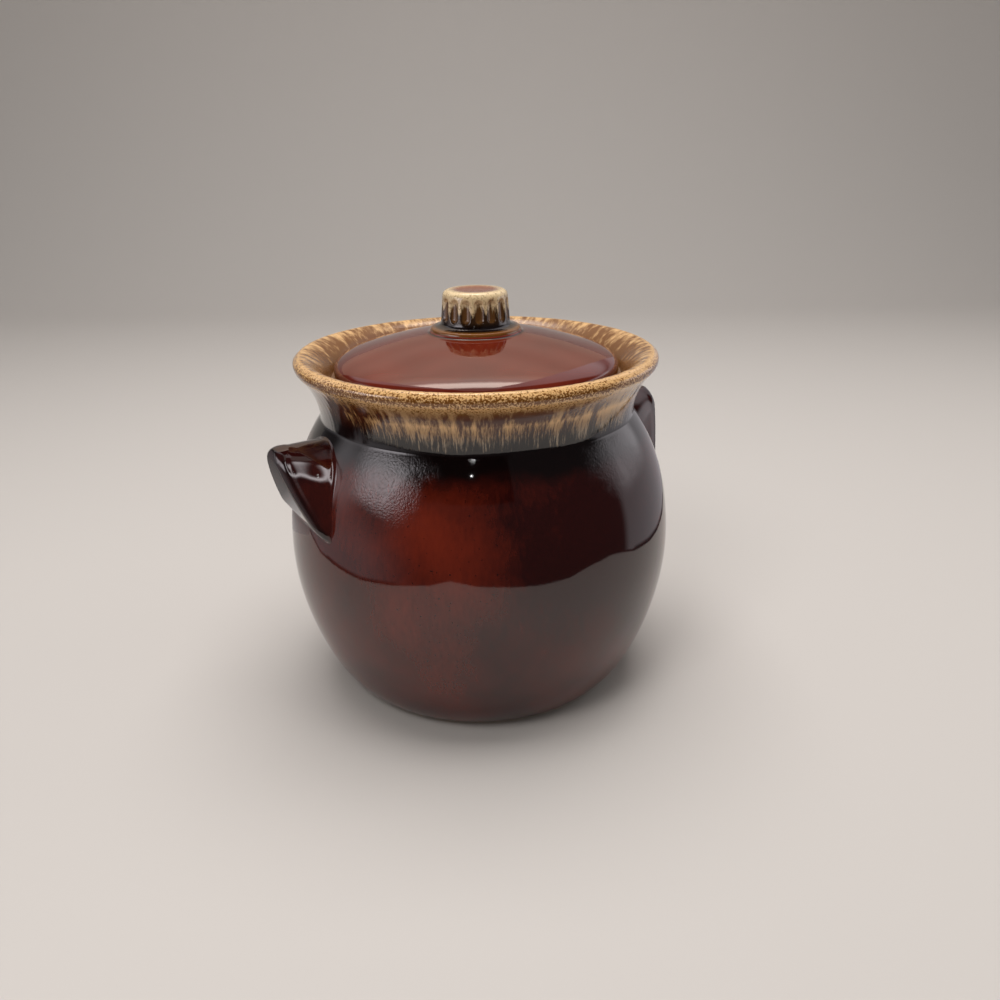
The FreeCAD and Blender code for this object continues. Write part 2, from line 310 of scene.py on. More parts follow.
def mark_edges(mesh):
    """Write how sharply each point bulges out (edge) or in (pool), where glaze thins or pools."""
    count = len(mesh.vertices)
    co, normal = np.zeros(count * 3), np.zeros(count * 3)
    mesh.vertices.foreach_get("co", co)
    mesh.vertices.foreach_get("normal", normal)
    co, normal = co.reshape(-1, 3) / MM, normal.reshape(-1, 3)
    ends = np.zeros(len(mesh.edges) * 2, np.int64)
    mesh.edges.foreach_get("vertices", ends)
    a, b = ends.reshape(-1, 2).T
    step = co[b] - co[a]
    bend = ((normal[b] - normal[a]) * step).sum(1) / np.maximum((step ** 2).sum(1), 1e-9)
    shares = np.bincount(a, minlength=count) + np.bincount(b, minlength=count)
    shares = np.maximum(shares, 1)
    value = (np.bincount(a, bend, count) + np.bincount(b, bend, count)) / shares
    for _ in range(BEND_PASSES):
        around = (np.bincount(a, value[b], count) + np.bincount(b, value[a], count)) / shares
        value = 0.5 * value + 0.5 * around
    for label, values in (("edge", value), ("pool", -value)):
        layer = mesh.attributes.new(label, "FLOAT", "POINT")
        layer.data.foreach_set("value", np.clip(values, 0, 2).astype(np.float32))


def lathe(name, path, run, segments, reference, relief, marks=None):
    """Turn a section round the axis, raised or cut by a relief.

    run is each section point's distance along the flow of the glaze, and the flow attribute
    unrolls the surface on a cylinder of the reference radius, so that streaks follow the form.
    """
    theta = np.linspace(0, TURN, segments, endpoint=False)[None, :]
    radius, height = path[:, :1], path[:, 1:]
    slope = np.gradient(path, axis=0)
    slope /= np.maximum(np.hypot(*slope.T)[:, None], 1e-9)
    lift = relief(theta, radius, height, run[:, None]) + np.zeros((len(path), segments))
    fade = np.clip(radius / AXIS_FADE, 0, 1)
    out = np.maximum(radius + lift * fade * slope[:, 1:], 0)
    up = height - lift * fade * slope[:, :1]
    grid = np.stack([out * np.cos(theta), out * np.sin(theta), up + 0 * theta], -1)
    flow = np.stack([reference * np.cos(theta) + 0 * radius,
                     reference * np.sin(theta) + 0 * radius, run[:, None] + 0 * theta], -1)
    inner = grid[1:-1].reshape(-1, 3)
    points = np.concatenate([grid[0, :1], inner, grid[-1, :1]])
    flows = np.concatenate([flow[0, :1], flow[1:-1].reshape(-1, 3), flow[-1, :1]]) * MM
    rows = len(path) - 2
    index = 1 + np.arange(rows * segments).reshape(rows, segments)
    beside = np.roll(index, -1, 1)
    quads = np.stack([index[:-1], beside[:-1], beside[1:], index[1:]], -1).reshape(-1, 4)
    first = np.stack([np.zeros(segments, int), beside[0], index[0]], -1)
    last = np.stack([np.full(segments, len(points) - 1), index[-1], beside[-1]], -1)
    faces = quads.tolist() + first.tolist() + last.tolist()
    layers = {"flow": flows}
    for label, rule in (marks or {}).items():
        value = rule(theta, radius, height) + 0 * lift
        layers[label] = np.concatenate([value[0, :1], value[1:-1].ravel(), value[-1, :1]])
    return make_object(name, points, faces, layers)


# ---- sections ------------------------------------------------------------------------------------
# pulls: where the two handles of an edge lie, as shares of its run and of its rise
BELLY_PULL = ((0.36, 0.035), (1.0, 0.52))
SHOULDER_PULL = ((0.0, 0.40), (0.38, 0.74))
COLLAR_PULL = ((0.05, 0.42), (0.42, 0.74))
LIP_PULL = (0.32, 1.0)
GALLERY_PULL = ((0.30, 0.0), (0.84, 0.50))
THROAT_PULL = ((0.16, 0.35), (0.92, 0.60))
DOME_PULL = ((0.34, 0.16), (0.68, 0.57))
ROLL_PULL = ((0.52, 0.24), (1.0, 0.48))
HOLLOW_PULL = ((0.38, 0.99), (0.60, 1.0))
FLARE_PULL = ((0.62, 0.08), (1.0, 0.45))
CROWN_PULL = ((0.0, 0.60), (0.40, 1.0))
DISH_PULL = ((0.19, 1.0), (0.60, 1.0))
BROW_PULL = ((0.65, 0.12), (1.0, 0.63))
FACE_PULL = ((0.09, 0.27), (0.58, 0.70))
FLANGE_HEIGHT, FLANGE_BEVEL = 7.0, 1  # the seat above the flange's lower edge; its corner
DOME_POINTS, HIDDEN_POINTS = 160, 18  # points along the dome; those under the glaze fillet
# the glaze fillet round the knob's base and its back: out from the base's edge, up from the crown
GLAZE_FILLET = ((1.9, -0.16), (0.9, 0.0), (0.15, 0.3), (0.04, 1.15))
FILLET_BACK = ((-0.5, 1.0), (-0.6, 0.0))
# the bead that rounds the knob's base: out and up from the edge of the base
KNOB_BEAD = ((0.0, 1.1), (-0.5, 1.6), (-1.3, 1.6))
KNOB_SETBACK = 0.4  # the base's underside, in from its edge


def outer_wall(s):
    """Section of the pot's outside from the heel to the under edge of the lip."""
    heel = (s.foot_radius + s.heel_width, s.heel_rise)
    girth = (s.belly_radius, s.belly_height)
    neck = (s.neck_radius, s.neck_height)
    under = (s.neck_radius + s.lip_overhang - s.lip_undercut, s.lip_height - s.lip_depth)
    return chain(sweep(heel, girth, BELLY_PULL), sweep(girth, neck, SHOULDER_PULL),
                 sweep(neck, under, COLLAR_PULL))


def pot_section(s):
    """Whole section: base, outside, lip, gallery, ledge, inside and floor."""
    foot_inner = s.foot_radius - s.foot_width
    lip = s.neck_radius + s.lip_overhang
    outside = outer_wall(s)
    under = outside[-1]
    crest = np.array([lip - s.lip_crest_inset, s.lip_height])
    roll = [(lip + s.lip_bulge, under[1] + up * s.lip_depth) for up in LIP_PULL]
    gallery = (s.gallery_radius, s.ledge_height)
    ledge_under = (s.throat_radius, s.ledge_height - s.ledge_thickness)
    girth = (s.belly_radius - s.wall, s.belly_height)
    inner_neck = (s.neck_radius - s.wall, s.neck_height)
    floor_edge = (s.foot_radius - s.floor_inset, s.floor_thickness)
    return chain(
        straight((0, s.foot_recess), (foot_inner - s.foot_recess, s.foot_recess),
                 (foot_inner, 0), (s.foot_radius, 0)),
        outside,
        bezier(under, roll[0], roll[1], crest),
        sweep(crest, gallery, GALLERY_PULL),
        straight(gallery, (s.throat_radius, s.ledge_height), ledge_under),
        sweep(ledge_under, inner_neck, THROAT_PULL),
        sweep(girth, inner_neck, SHOULDER_PULL)[::-1],
        sweep(floor_edge, girth, BELLY_PULL)[::-1],
        straight(floor_edge, (0, s.floor_thickness)),
    )


def lid_section(s):
    """Whole section: hollow, flange, seat, rolled edge, dome and the glaze round the knob."""
    seat = (s.knob_base_radius, s.crown)
    bed = s.flange_bottom + FLANGE_HEIGHT
    rolled = (s.radius - s.shoulder_inset, bed + s.shoulder_rise)
    edge = (s.radius, bed + s.edge_height)
    inner = s.flange_radius - s.flange_width
    hollow = (inner, rolled[1] - s.hollow_drop)
    fillet = [(seat[0] + out, seat[1] + up) for out, up in GLAZE_FILLET]
    back = [(seat[0] + out, seat[1] + up) for out, up in FILLET_BACK]
    return chain(
        sweep(hollow, (0, s.crown - s.wall), HOLLOW_PULL)[::-1],
        straight(hollow, (inner, s.flange_bottom),
                 (s.flange_radius - FLANGE_BEVEL, s.flange_bottom),
                 (s.flange_radius, s.flange_bottom + FLANGE_BEVEL), (s.flange_radius, bed),
                 (s.radius - s.edge_ease, bed), (s.radius, bed + s.edge_ease), edge),
        sweep(rolled, edge, ROLL_PULL)[::-1],
        sweep(seat, rolled, DOME_PULL, DOME_POINTS)[::-1][:-HIDDEN_POINTS],
        bezier(*fillet, 20),
        straight(*back, (0, s.crown)),
    )


def knob_section(s):
    """Whole section: beaded base, flare, fluted sides, rounded top edge and dish."""
    base, top = s.crown, s.crown + s.knob_height
    edge = (s.knob_base_radius, base + s.knob_base_edge)
    bead = [(edge[0] + out, edge[1] + up) for out, up in KNOB_BEAD]
    waist = (s.knob_radius, base + s.knob_flare)
    crown = (s.knob_top_radius, top - s.knob_round)
    crown_end = (s.knob_top_radius - s.knob_round, top)
    dish = (s.dish_radius, top)
    return chain(
        straight((0, base), (s.knob_base_radius - KNOB_SETBACK, base), edge),
        bezier(edge, *bead, 30),
        sweep(bead[-1], waist, FLARE_PULL),
        straight(waist, crown),
        sweep(crown, crown_end, CROWN_PULL),
        straight(crown_end, dish),
        sweep(dish, (0, top - s.dish_depth), DISH_PULL),
    )


# ---- carved forms --------------------------------------------------------------------------------
LUG_REGION = (58, -44, 78), (94, 44, 128)
LUG_STEP = 0.6  # spacing of the grid that the lug is carved from
SETTLE_PASSES = 3  # then its points are moved onto the exact surface
FACE_RUN_ON = 14  # the outer face runs on inside the belly
# heights, and the share that the edge rounding and the root fillet have there
EDGE_SHARES = (86, 98, 116), (0.42, 0.58, 1.0)
FILLET_SHARES = (85, 95, 108, 119), (0.5, 0.5, 1.0, 0.6)
SKIN_LAP = 0.25  # the fillet ends just under the wall's skin
ROOT_DEPTH = 2.5  # the lug ends this far inside the wall
FILLET_SPREAD = 8  # the fillet reaches no further than this from the lug
BLEND_PER_ROUND = 4  # width of a blend that rounds an edge to a radius of 1


def blend_in(a, b, width):
    """The smaller of two fields with a fillet of about that width where they meet."""
    share = np.clip(0.5 + 0.5 * (b - a) / width, 0, 1)
    return b * (1 - share) + a * share - width * share * (1 - share)


def blend_out(a, b, width):
    """The larger of two fields with a rounding of about that width where they meet."""
    return -blend_in(-a, -b, width)


class LugForm:
    """Distance field of a hooded lug on +X that grows out of the shoulder; all in millimetres."""

    def __init__(self, s, lug):
        self.s, self.lug = s, lug
        self.wall = outer_wall(s)
        self.slope = np.clip(np.gradient(self.wall[:, 0], self.wall[:, 1]), -3, 3)
        self.root = np.interp(lug.top, self.wall[:, 1], self.wall[:, 0])
        foot = np.interp(lug.bottom, self.wall[:, 1], self.wall[:, 0]) - lug.foot_tuck
        brow = (lug.tip - lug.nose_radius, lug.top + lug.brow_rise)
        nose = (lug.tip, lug.top - lug.nose_drop)
        face = chain(sweep(brow, nose, BROW_PULL, 24),
                     sweep(nose, (foot, lug.bottom), FACE_PULL, 40))
        onward = (face[-1] - face[-2]) / np.hypot(*(face[-1] - face[-2]))
        self.face = np.concatenate([face, [face[-1] + FACE_RUN_ON * onward]])[::-1]

    def skin(self, x, y, z):
        """Distance outside the pot's wall."""
        near = np.interp(z, self.wall[:, 1], self.wall[:, 0])
        slope = np.interp(z, self.wall[:, 1], self.slope)
        return (np.hypot(x, y) - near) / np.sqrt(1 + slope ** 2)

    def hood(self, x, y, z):
        """Distance outside the arched back and its splayed, dished flanks."""
        lug = self.lug
        share = np.maximum((x - self.root) / (lug.tip - self.root), 0)
        drawn = np.exp(-(lug.draw_in * share) ** lug.dish)
        half = 0.5 * (lug.tip_width + (lug.root_width - lug.tip_width) * drawn)
        grow = (0.5 * (lug.root_width - lug.tip_width) * drawn * lug.dish * lug.draw_in
                * (lug.draw_in * share) ** (lug.dish - 1) / (lug.tip - self.root))
        radius = half * (lug.tip_arch + (lug.arch - lug.tip_arch) * drawn)
        centre = lug.top - lug.sag * share - radius
        splay = math.radians(lug.splay)
        arch = np.hypot(y, z - centre) - radius
        spring = centre + radius * math.sin(splay)
        leg = np.abs(y) - radius * math.cos(splay) - (spring - z) * math.tan(splay)
        field = np.where(z > spring, arch, leg * math.cos(splay))
        return field / np.sqrt(1 + grow ** 2)

    def outer(self, x, z):
        """Distance outside the steep outer face, nose and brow."""
        gap = np.full(np.broadcast(x, z).shape, 1e9)
        near = np.interp(z, self.face[:, 1], self.face[:, 0])
        for (x0, z0), (dx, dz) in zip(self.face[:-1], np.diff(self.face, axis=0)):
            t = np.clip(((x - x0) * dx + (z - z0) * dz) / (dx * dx + dz * dz), 0, 1)
            gap = np.minimum(gap, np.hypot(x - x0 - t * dx, z - z0 - t * dz))
        return np.where(x > near, gap, -gap)

    def __call__(self, x, y, z):
        """Distance outside the whole lug, with its fillet and its buried root."""
        lug = self.lug
        face = self.outer(x, z)
        bead = 0.5 * lug.rim_width
        hood = self.hood(x, y, z) - lug.rim_height * np.exp(-((face + 1.6 * bead) / bead) ** 2)
        # the edge is round beside the nose and sharper towards the foot and along the brow
        broad = np.interp(z, *EDGE_SHARES) * lug.edge_round
        beside = np.clip((np.abs(y) - 1) / 6, 0.15, 1)
        body = blend_out(hood, face, BLEND_PER_ROUND * broad * beside)
        body = blend_out(body, lug.bottom + 0.2 - z, BLEND_PER_ROUND * lug.foot_round)
        skin = self.skin(x, y, z)
        fillet = np.interp(z, *FILLET_SHARES) * lug.root_fillet
        joined = blend_in(body, skin + SKIN_LAP, 2.2 * fillet)
        return np.maximum(joined, np.maximum(-(skin + ROOT_DEPTH), body - FILLET_SPREAD))


def settle(field, points, nudge=0.04, least_slope=0.2, longest=0.3):
    """Move points straight onto the zero surface of a field."""
    value = field(*points.T)
    slope = np.stack([
        (field(*(points + nudge * axis).T) - field(*(points - nudge * axis).T)) / (2 * nudge)
        for axis in np.eye(3)
    ], 1)
    move = value[:, None] * slope / np.maximum((slope ** 2).sum(1), least_slope)[:, None]
    return points - np.clip(move, -longest, longest)


def carve(field, low, high, step):
    """Mesh of the surface where a field is zero: points in millimetres and faces."""
    axes = [np.arange(a, b + step, step) for a, b in zip(low, high)]
    values = field(*np.meshgrid(*axes, indexing="ij")).astype(np.float32)
    grid = openvdb.FloatGrid(float(values.max()))
    grid.copyFromArray(values)
    points, triangles, quads = grid.convertToPolygons(isovalue=0.0, adaptivity=0.0)
    points = points.astype(float) * step + np.array(low)
    for _ in range(SETTLE_PASSES):
        points = settle(field, points)
    faces = triangles[:, ::-1].tolist() + quads[:, ::-1].tolist()
    return points, faces


# ---- glazes --------------------------------------------------------------------------------------
def add(tree, kind, inputs=None, output=0, stops=(), **settings):
    """Add one shader node with its settings, colour stops, values and links; give one output."""
    node = tree.nodes.new("ShaderNode" + kind)
    for name, value in settings.items():
        setattr(node, name, value)
    for number, (position, shade) in enumerate(stops):
        marks = node.color_ramp.elements
        mark = marks[number] if number < 2 else marks.new(position)
        mark.position, mark.color = position, shade
    for socket, value in (inputs or {}).items():
        if isinstance(value, bpy.types.NodeSocket):
            tree.links.new(value, node.inputs[socket])
        else:
            node.inputs[socket].default_value = value
    return node.outputs[output] if len(node.outputs) else node


def empty_material(name):
    """A material with nothing in its node tree yet."""
    material = bpy.data.materials.new(name)
    material.use_nodes = True
    material.node_tree.nodes.clear()
    return material, material.node_tree


PER_MM = 1 / MM
SMOOTH = {"interpolation_type": "SMOOTHSTEP"}  # a MapRange that eases in and out
RGBA = {"data_type": "RGBA"}  # a Mix of colours, whose result is output 2
COLLAR_RUN = 0.040  # run of glaze in metres from the lip's crest to the end of the collar's ramps
# how much of the collar the pale glaze covers: place down the collar and per cent
COLLAR_COVER = ((0.0, 67), (0.07, 56), (0.10, 45), (0.125, 38), (0.15, 40), (0.175, 60),
                (0.20, 61), (0.24, 56), (0.30, 48), (0.34, 44), (0.39, 44), (0.45, 51),
                (0.53, 48), (0.62, 42), (0.70, 34), (0.74, 12))
# spots: x, y, z and reach in millimetres, and the share added there
# - of pale glaze on the collar; the first spot thins it on the collar's left, and that darker patch
#   is painted shade
COLLAR_SPOTS = ((-67, -12, 120, 20, -0.25), (26, -62, 136, 16, 0.10), (-40, -62, 124, 12, 0.04))
# - of rust on the body, where its glaze lies thinner or thicker
BODY_SPOTS = ((-48, -62, 86, 19, 0.36), (-57, -54, 97, 12, 0.46), (18, -76, 99, 44, -0.43),
              (-68, -48, 62, 11, 0.22), (28, -76, 60, 34, -0.26), (-36, -71, 46, 22, -0.14),
              (35, 72, 84, 30, 0.3), (70, -30, 60, 26, 0.15), (-50, 62, 55, 28, 0.3),
              (-10, 80, 100, 34, -0.4))
# pitted places on the shoulder: x, y, z and reach in millimetres
SHEEN_SPOTS = ((-63, -36, 112, 13), (-58, -47, 106, 11), (-48, -50, 117, 6), (18, -70, 112, 11),
               (31, -64, 113, 9), (62, 40, 108, 14), (-20, 72, 110, 16), (-66, 30, 106, 10))


def share_near(tree, share, where, spots):
    """Raise or lower a share at some spots; each fades out at 1.6 times its reach."""
    for x, y, z, reach, more in spots:
        away = add(tree, "VectorMath", {
            0: where, 1: (x * MM, y * MM, z * MM)}, "Value", operation="DISTANCE")
        spot = add(tree, "MapRange", {
            "Value": away, 1: reach * 1.6 * MM, 2: 0.0, 3: 0.0, 4: more}, **SMOOTH)
        share = add(tree, "Math", {0: share, 1: spot})
    return share


def red_brown(tree, colours, rusty, mottle, spots=()):
    """Iron-red glaze colour: oxblood where it lies thick, rust where thin, black where it pools.

    rusty is the rust's share all over, spots are places where it is higher or lower, and mottle
    is how far fine fibres shift it.
    """
    where = add(tree, "TexCoord", output="Object")
    cloud = add(tree, "TexNoise", {
        "Vector": where, "Scale": PER_MM / 34, "Detail": 2.5, "Roughness": 0.55})
    thin = add(tree, "MapRange", {
        "Value": cloud, 1: 0.30, 2: 0.70, 3: rusty - 0.22, 4: rusty + 0.22})
    thin = share_near(tree, thin, where, spots)
    # fibres about 2 mm wide and 6 mm long, as the glaze crept down while it melted
    drawn = add(tree, "Mapping", {"Vector": where, "Scale": (1, 1, 0.3)})
    fibres = add(tree, "TexNoise", {
        "Vector": drawn, "Scale": PER_MM / 1.8, "Detail": 3.0, "Roughness": 0.65})
    share = add(tree, "Math", {0: fibres, 1: mottle, 2: thin}, operation="MULTIPLY_ADD")
    share = add(tree, "MapRange", {"Value": share, 1: 0.5 * mottle, 2: 0.5 * mottle + 1})
    base = add(tree, "Mix", {0: share, 6: colours.oxblood, 7: colours.rust}, 2, **RGBA)
    edge = add(tree, "Attribute", output="Fac", attribute_name="edge")
    pool = add(tree, "Attribute", output="Fac", attribute_name="pool")
    bared = add(tree, "MapRange", {"Value": edge, 1: 0.14, 2: 0.50, 3: 0.0, 4: 0.85}, **SMOOTH)
    base = add(tree, "Mix", {0: bared, 6: base, 7: colours.rust}, 2, **RGBA)
    deep = add(tree, "MapRange", {"Value": pool, 1: 0.04, 2: 0.30, 3: 0.0, 4: 0.92}, **SMOOTH)
    return add(tree, "Mix", {0: deep, 6: base, 7: colours.pooled}, 2, **RGBA)


def glaze_over(tree, base, rough, normal=None):
    """Close a fired glaze: a glassy surface, denser than window glass, over its colour."""
    inputs = {"Base Color": base, "Roughness": rough, "IOR": 1.64}
    if normal is not None:
        inputs["Normal"] = normal
    surface = add(tree, "BsdfPrincipled", inputs)
    add(tree, "OutputMaterial", {"Surface": surface})


def pot_glaze(colours):
    """Stoneware dipped red-brown, its lip dipped again in a pale rutile glaze that ran.

    The pale glaze hides the brown on top of the lip, breaks into specks below it and runs down
    the collar in streaks about a millimetre wide.  The brown pools black in the neck crease, and
    on the shoulder the gloss is broken by fine pits.  The foot ring is bare buff clay.
    """
    material, tree = empty_material("stoneware_red_brown_glaze_pale_lip")
    where = add(tree, "TexCoord", output="Object")
    height = add(tree, "SeparateXYZ", {0: where}, output="Z")
    flow = add(tree, "Attribute", output="Vector", attribute_name="flow")
    run = add(tree, "SeparateXYZ", {0: flow}, output="Z")
    body = red_brown(tree, colours, 0.28, 0.55, BODY_SPOTS)
    # a few pinholes and iron specks about half a millimetre across
    ticks = add(tree, "TexNoise", {
        "Vector": where, "Scale": PER_MM / 1.2, "Detail": 1.0, "Roughness": 0.5})
    tick = add(tree, "MapRange", {"Value": ticks, 1: 0.71, 2: 0.75, 3: 0.0, 4: 0.6})
    body = add(tree, "Mix", {0: tick, 6: body, 7: colours.pooled}, 2, **RGBA)

    # grains: specks 0.7 mm across, blotches 2 mm wide and 8 mm long, filaments 0.8 mm wide
    speck = add(tree, "TexNoise", {
        "Vector": flow, "Scale": PER_MM / 0.7, "Detail": 2.0, "Roughness": 0.6})
    strong = add(tree, "MapRange", {"Value": speck, 1: 0.18, 2: 0.82})
    along = add(tree, "Mapping", {"Vector": flow, "Scale": (1, 1, 0.28)})
    streak = add(tree, "TexNoise", {
        "Vector": along, "Scale": PER_MM / 2.2, "Detail": 5.0, "Roughness": 0.72})
    fine = add(tree, "Mapping", {"Vector": flow, "Scale": (1, 1, 0.12)})
    filament = add(tree, "TexNoise", {
        "Vector": fine, "Scale": PER_MM / 0.75, "Detail": 3.0, "Roughness": 0.7})
    # the streaks stand in clumps about 5 mm wide with bare brown between them
    clump = add(tree, "TexNoise", {
        "Vector": fine, "Scale": PER_MM / 5, "Detail": 1.0, "Roughness": 0.5})
    clump = add(tree, "MapRange", {"Value": clump, 1: 0.3, 2: 0.7, 3: -0.10, 4: 0.10})
    lower = add(tree, "MapRange", {"Value": run, 1: 0.0085, 2: 0.0125}, **SMOOTH)
    lowest = add(tree, "MapRange", {"Value": run, 1: 0.015, 2: 0.023}, **SMOOTH)
    grain = add(tree, "Mix", {0: lower, 2: strong, 3: streak})
    grain = add(tree, "Mix", {0: lowest, 2: grain, 3: filament})
    clumped = add(tree, "Math", {0: clump, 1: lower, 2: grain}, operation="MULTIPLY_ADD")
    place = add(tree, "MapRange", {"Value": run, 1: 0.0, 2: COLLAR_RUN})
    cover = add(tree, "ValToRGB", {0: place}, stops=[
        (at, (share / 100,) * 3 + (1.0,)) for at, share in COLLAR_COVER])
    # the first collar spot darkens the collar's left side as painted shade
    cover = share_near(tree, cover, where, COLLAR_SPOTS)
    pale = add(tree, "Math", {0: clumped, 1: cover}, operation="ADD")
    pale = add(tree, "MapRange", {"Value": pale, 1: 0.88, 2: 1.14}, **SMOOTH)
    over = add(tree, "ValToRGB", {0: place}, stops=[
        (0.0, colours.cream), (0.20, colours.cream), (0.28, colours.ochre),
        (0.36, colours.ochre), (0.44, colours.cream), (0.52, colours.ochre),
        (0.64, colours.ash)])
    under = add(tree, "ValToRGB", {0: place}, stops=[
        (0.0, colours.amber), (0.24, colours.amber), (0.36, colours.umber),
        (0.44, colours.umber), (0.62, colours.pooled)])
    collar = add(tree, "Mix", {0: pale, 6: under, 7: over}, 2, **RGBA)

    # the same glaze on the flared inside, in streaks that point at the lid
    wide = add(tree, "Mapping", {"Vector": flow, "Scale": (1, 1, 0.42)})
    radial = add(tree, "TexNoise", {
        "Vector": wide, "Scale": PER_MM / 3.2, "Detail": 4.0, "Roughness": 0.66})
    inward = add(tree, "MapRange", {"Value": run, 1: -0.017, 2: 0.0, 3: 0.22, 4: 0.54})
    inner = add(tree, "Math", {0: radial, 1: inward}, operation="ADD")
    inner = add(tree, "MapRange", {"Value": inner, 1: 0.86, 2: 1.16}, **SMOOTH)
    gallery = add(tree, "Mix", {0: inner, 6: colours.amber, 7: colours.cream}, 2, **RGBA)
    down = add(tree, "MapRange", {"Value": run, 1: -0.017, 2: -0.024})
    inside = add(tree, "Mix", {0: down, 6: gallery, 7: body}, 2, **RGBA)
    outward = add(tree, "MapRange", {"Value": run, 1: -0.0006, 2: 0.0006})
    rim = add(tree, "Mix", {0: outward, 6: inside, 7: collar}, 2, **RGBA)

    # below the crease the black pool thins out to the body's own colour
    pooled = add(tree, "MapRange", {"Value": run, 1: 0.031, 2: 0.037}, **SMOOTH)
    drift = add(tree, "TexNoise", {
        "Vector": where, "Scale": PER_MM / 14, "Detail": 2.0, "Roughness": 0.5})
    drained = add(tree, "Math", {0: drift, 1: 0.012}, operation="MULTIPLY")
    drained = add(tree, "Math", {0: drained, 1: run}, operation="SUBTRACT")
    drained = add(tree, "MapRange", {"Value": drained, 1: -0.030, 2: -0.038}, **SMOOTH)
    belly = add(tree, "Mix", {0: drained, 6: colours.pooled, 7: body}, 2, **RGBA)
    outside = add(tree, "Mix", {0: pooled, 6: rim, 7: belly}, 2, **RGBA)
    bare = add(tree, "MapRange", {"Value": height, 1: 0.0017, 2: 0.0010})
    clay = add(tree, "Mix", {0: speck, 6: colours.clay, 7: colours.ochre}, 2, **RGBA)
    base = add(tree, "Mix", {0: bare, 6: outside, 7: clay}, 2, **RGBA)

    # pitted places on the shoulder, where the gloss turns to a soft sheen
    waver = add(tree, "TexNoise", {
        "Vector": where, "Scale": PER_MM / 9, "Detail": 2.0, "Roughness": 0.5})
    waver = add(tree, "MapRange", {"Value": waver, 3: -0.010, 4: 0.010})
    patch = 0.0
    for x, y, z, reach in SHEEN_SPOTS:
        away = add(tree, "VectorMath", {
            0: where, 1: (x * MM, y * MM, z * MM)}, output="Value", operation="DISTANCE")
        away = add(tree, "Math", {0: away, 1: waver})
        near = add(tree, "MapRange", {
            "Value": away, 1: reach * 1.5 * MM, 2: reach * 0.4 * MM}, **SMOOTH)
        patch = add(tree, "Math", {0: patch, 1: near}, operation="MAXIMUM")
    high = add(tree, "MapRange", {"Value": height, 1: 0.088, 2: 0.102}, **SMOOTH)
    below = add(tree, "MapRange", {"Value": run, 1: 0.029, 2: 0.032}, **SMOOTH)
    high = add(tree, "Math", {0: high, 1: below}, operation="MULTIPLY")
    patch = add(tree, "Math", {0: patch, 1: high}, operation="MULTIPLY")
    matt = add(tree, "Math", {0: bare, 1: patch}, operation="MAXIMUM")
    rough = add(tree, "MapRange", {"Value": matt, 1: 0.0, 2: 1.0, 3: 0.05, 4: 0.20})
    pits = add(tree, "TexNoise", {
        "Vector": where, "Scale": PER_MM / 0.8, "Detail": 2.0, "Roughness": 0.6})
    depth = add(tree, "MapRange", {"Value": matt, 1: 0.0, 2: 1.0, 3: 0.05, 4: 1.6})
    relief = add(tree, "Math", {0: pits, 1: depth}, operation="MULTIPLY")
    raised = add(tree, "MapRange", {"Value": run, 1: 0.034, 2: 0.027, 3: 0.0, 4: 0.45}, **SMOOTH)
    runs = add(tree, "Math", {0: grain, 1: raised, 2: relief}, operation="MULTIPLY_ADD")
    normal = add(tree, "Bump", {"Height": runs, "Strength": 0.6, "Distance": 0.00016})
    glaze_over(tree, base, rough, normal)
    return material


def lid_glaze(colours):
    """Pressed stoneware lid, dipped once: plain red-brown glaze with a mirror gloss."""
    material, tree = empty_material("stoneware_red_brown_glaze")
    base = red_brown(tree, colours, 0.62, 0.10)
    where = add(tree, "TexCoord", output="Object")
    height = add(tree, "SeparateXYZ", {0: where}, output="Z")
    bare = add(tree, "MapRange", {"Value": height, 1: lid_low.z + 0.0010, 2: lid_low.z + 0.0004})
    base = add(tree, "Mix", {0: bare, 6: base, 7: colours.clay}, 2, **RGBA)
    rough = add(tree, "MapRange", {"Value": bare, 1: 0.0, 2: 1.0, 3: 0.045, 4: 0.6})
    ripple = add(tree, "TexNoise", {
        "Vector": where, "Scale": PER_MM / 8, "Detail": 2.0, "Roughness": 0.5})
    normal = add(tree, "Bump", {"Height": ripple, "Strength": 0.25, "Distance": 0.0002})
    glaze_over(tree, base, rough, normal)
    return material


def lug_glaze(colours):
    """Lug under the body's glaze, which drew back to rust along the rim and pooled at the root."""
    material, tree = empty_material("stoneware_red_brown_glaze_thin_edges")
    base = red_brown(tree, colours, 0.06, 0.30)
    where = add(tree, "TexCoord", output="Object")
    ripple = add(tree, "TexNoise", {
        "Vector": where, "Scale": PER_MM / 5, "Detail": 2.0, "Roughness": 0.5})
    normal = add(tree, "Bump", {"Height": ripple, "Strength": 0.08, "Distance": 0.0002})
    glaze_over(tree, base, 0.055, normal)
    return material


